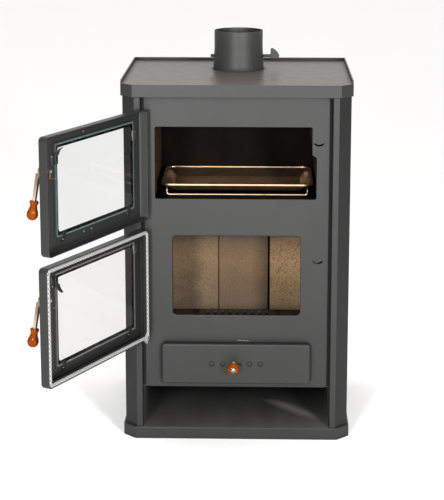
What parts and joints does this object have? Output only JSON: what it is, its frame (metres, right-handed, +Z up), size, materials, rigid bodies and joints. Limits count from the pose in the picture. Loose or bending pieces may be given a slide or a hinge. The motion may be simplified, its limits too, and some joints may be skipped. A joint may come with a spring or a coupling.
{
  "type": "wood cookstove",
  "caption": "Free-standing sheet-steel wood cookstove with oven above the firebox, glazed side-hung doors, ash drawer, open wood store and a top flue collar.",
  "frame": {"origin": "middle of the plinth's underside, on the floor", "axes": "+Z up, -Y out of the doors' side, +X to the right as seen from the front"},
  "size_m": [0.746, 0.8608, 0.995],
  "materials": {
    "body_paint": "satin dark grey heat-proof paint",
    "top_steel": "satin warm grey cooking plate",
    "collar_paint": "smooth dark cast iron",
    "inner_steel": "dark heat-stained steel sheet",
    "cast_iron": "rough cast",
    "firebrick": "dry tan fireclay",
    "oven_steel": "dark enamel",
    "oven_glass": "clear, ground edge",
    "fire_glass": "clear ceramic glass",
    "hinge_steel": "plain steel",
    "clip_steel": "black spring steel",
    "rope": "white braided glass-fibre rope",
    "zinc": "bright zinc plate",
    "lever_zinc": "yellow zinc plate",
    "brass": "plain brass",
    "lacquered_wood": "glossy orange-brown lacquer",
    "wire": "bright wire",
    "tray_steel": "bright tin plate"
  },
  "bodies": {
    "stove": {"base_plinth": "body_paint", "left_side_panel": "body_paint", "right_side_panel": "body_paint", "back_panel": "body_paint", "left_store_wall": "body_paint", "right_store_wall": "body_paint", "top_plate": "top_steel", "hob_ring": "inner_steel", "flue_collar": "collar_paint", "front_plate": "body_paint", "ash_floor": "inner_steel", "left_inner_wall": "inner_steel", "right_inner_wall": "inner_steel", "inner_back": "inner_steel", "firebox_floor": "inner_steel", "fire_grate": "cast_iron", "firebox_side_plates": "inner_steel", "firebox_back": "inner_steel", "side_firebricks": "firebrick", "back_firebricks": "firebrick", "oven_floor": "oven_steel", "oven_left_wall": "oven_steel", "oven_right_wall": "oven_steel", "oven_back": "oven_steel", "oven_roof": "oven_steel", "oven_rack": "wire", "drawer_runners": "inner_steel", "hinge_lugs": "hinge_steel"},
    "oven_door": {"oven_door_pan": "body_paint", "oven_door_glass": "oven_glass", "oven_hinge_tubes": "body_paint", "oven_glass_clips": "clip_steel", "oven_clip_screws": "clip_steel"},
    "oven_handle": {"oven_handle_spindle": "zinc", "oven_handle_lever": "lever_zinc", "oven_handle_grip": "lacquered_wood", "oven_latch_claw": "brass"},
    "fire_door": {"fire_door_pan": "body_paint", "fire_door_glass": "fire_glass", "fire_hinge_tubes": "body_paint", "fire_glass_clips": "clip_steel", "fire_clip_screws": "clip_steel", "fire_rope_channel": "body_paint", "fire_rope_seal": "rope"},
    "fire_handle": {"fire_handle_spindle": "zinc", "fire_handle_lever": "lever_zinc", "fire_handle_grip": "lacquered_wood", "fire_latch_claw": "brass"},
    "ash_drawer": {"ash_drawer_front": "body_paint", "ash_drawer_pan": "inner_steel", "air_slider_guides": "inner_steel"},
    "air_slider": {"air_slider_plate": "inner_steel", "air_stem": "zinc", "air_knob": "lacquered_wood"},
    "damper": {"damper_shaft": "zinc", "damper_disc": "inner_steel", "damper_key": "zinc"},
    "hob_lid": {"hob_lid": "top_steel"},
    "oven_tray": {"roasting_tray": "tray_steel"}
  },
  "joints": [
    {"name": "oven_door_hinge", "type": "hinge", "parent": "stove", "child": "oven_door", "pos_m": [-0.2226, -0.23, 0.703], "axis": [0, 0, -1], "range_deg": [-116, 12]},
    {"name": "oven_handle_turn", "type": "hinge", "parent": "oven_door", "child": "oven_handle", "pos_m": [-0.41774, -0.60501, 0.761], "axis": [0.8988, -0.4384, 0], "range_deg": [0, 40]},
    {"name": "fire_door_hinge", "type": "hinge", "parent": "stove", "child": "fire_door", "pos_m": [-0.2226, -0.23, 0.4035], "axis": [0, 0, -1], "range_deg": [-117, 11]},
    {"name": "fire_handle_turn", "type": "hinge", "parent": "fire_door", "child": "fire_handle", "pos_m": [-0.42426, -0.60154, 0.467], "axis": [0.891, -0.454, 0], "range_deg": [0, 40]},
    {"name": "ash_drawer_slide", "type": "slide", "parent": "stove", "child": "ash_drawer", "axis": [0, -1, 0], "range_m": [0, 0.22]},
    {"name": "air_slide", "type": "slide", "parent": "ash_drawer", "child": "air_slider", "axis": [1, 0, 0], "range_m": [0, 0.016]},
    {"name": "damper_turn", "type": "hinge", "parent": "stove", "child": "damper", "pos_m": [0, 0.064, 0.929], "axis": [1, 0, 0], "range_deg": [0, 90]},
    {"name": "roasting_tray_slide", "type": "slide", "parent": "stove", "child": "oven_tray", "axis": [0, -1, 0], "range_m": [0, 0.15]},
    {"name": "hob_lid_lift", "type": "slide", "parent": "stove", "child": "hob_lid", "axis": [0, 0, 1], "range_m": [0, 0.06]}
  ]
}
